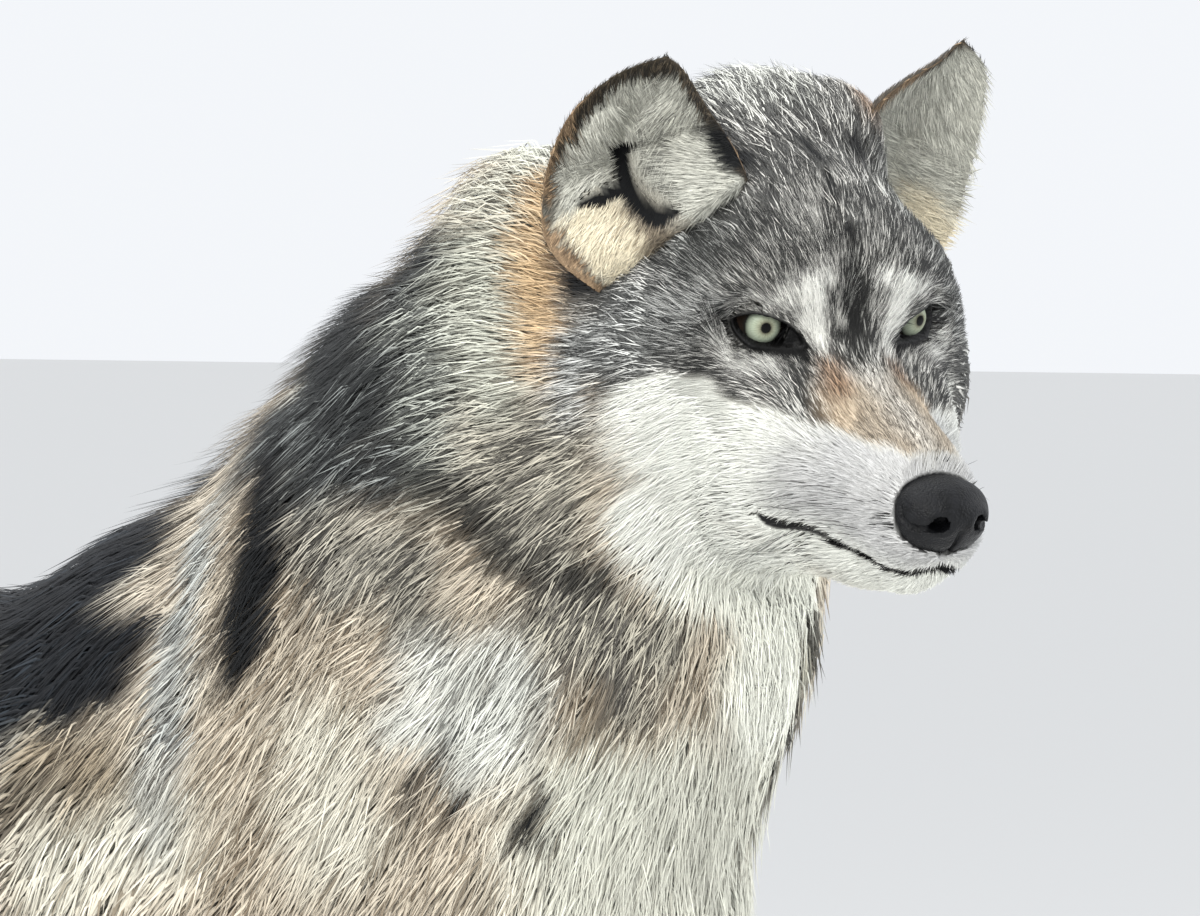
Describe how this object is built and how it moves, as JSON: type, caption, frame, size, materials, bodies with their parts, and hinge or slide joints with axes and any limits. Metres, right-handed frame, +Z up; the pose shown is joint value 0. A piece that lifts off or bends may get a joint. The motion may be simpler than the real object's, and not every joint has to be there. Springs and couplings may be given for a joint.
{
  "type": "grey wolf",
  "caption": "Life-size standing grey wolf in winter coat, head raised and turned to its right, tail hanging; a still display model that stands on its own feet.",
  "frame": {"origin": "on the floor, below the middle of the bounding box", "axes": "+Z up; the wolf faces -Y; +X is the wolf's left side"},
  "size_m": [0.3008, 1.3344, 1.0553],
  "materials": {
    "coat": "grey-tan winter fur with dark guard-hair tips",
    "pale_coat": "cream-white short fur",
    "ear_coat": "short tan fur, dark at the rim",
    "eye": "wet and clear over a pale greenish iris",
    "nose_skin": "damp black pebbled skin",
    "claw_horn": "dark satin horn"
  },
  "bodies": {
    "root": {"trunk": "coat", "neck": "coat", "head": "coat", "muzzle": "pale_coat", "jaw": "pale_coat", "nose": "nose_skin", "ear_right": "ear_coat", "ear_left": "ear_coat", "eye_right": "eye", "eye_left": "eye", "tail": "coat", "foreleg_right": "pale_coat", "foreleg_left": "pale_coat", "hindleg_right": "pale_coat", "hindleg_left": "pale_coat", "forefoot_right": "pale_coat", "forefoot_left": "pale_coat", "hindfoot_right": "pale_coat", "hindfoot_left": "pale_coat", "claw_forefoot_right_1": "claw_horn", "claw_forefoot_right_2": "claw_horn", "claw_forefoot_right_3": "claw_horn", "claw_forefoot_right_4": "claw_horn", "claw_forefoot_left_1": "claw_horn", "claw_forefoot_left_2": "claw_horn", "claw_forefoot_left_3": "claw_horn", "claw_forefoot_left_4": "claw_horn", "claw_hindfoot_right_1": "claw_horn", "claw_hindfoot_right_2": "claw_horn", "claw_hindfoot_right_3": "claw_horn", "claw_hindfoot_right_4": "claw_horn", "claw_hindfoot_left_1": "claw_horn", "claw_hindfoot_left_2": "claw_horn", "claw_hindfoot_left_3": "claw_horn", "claw_hindfoot_left_4": "claw_horn"}
  },
  "joints": []
}
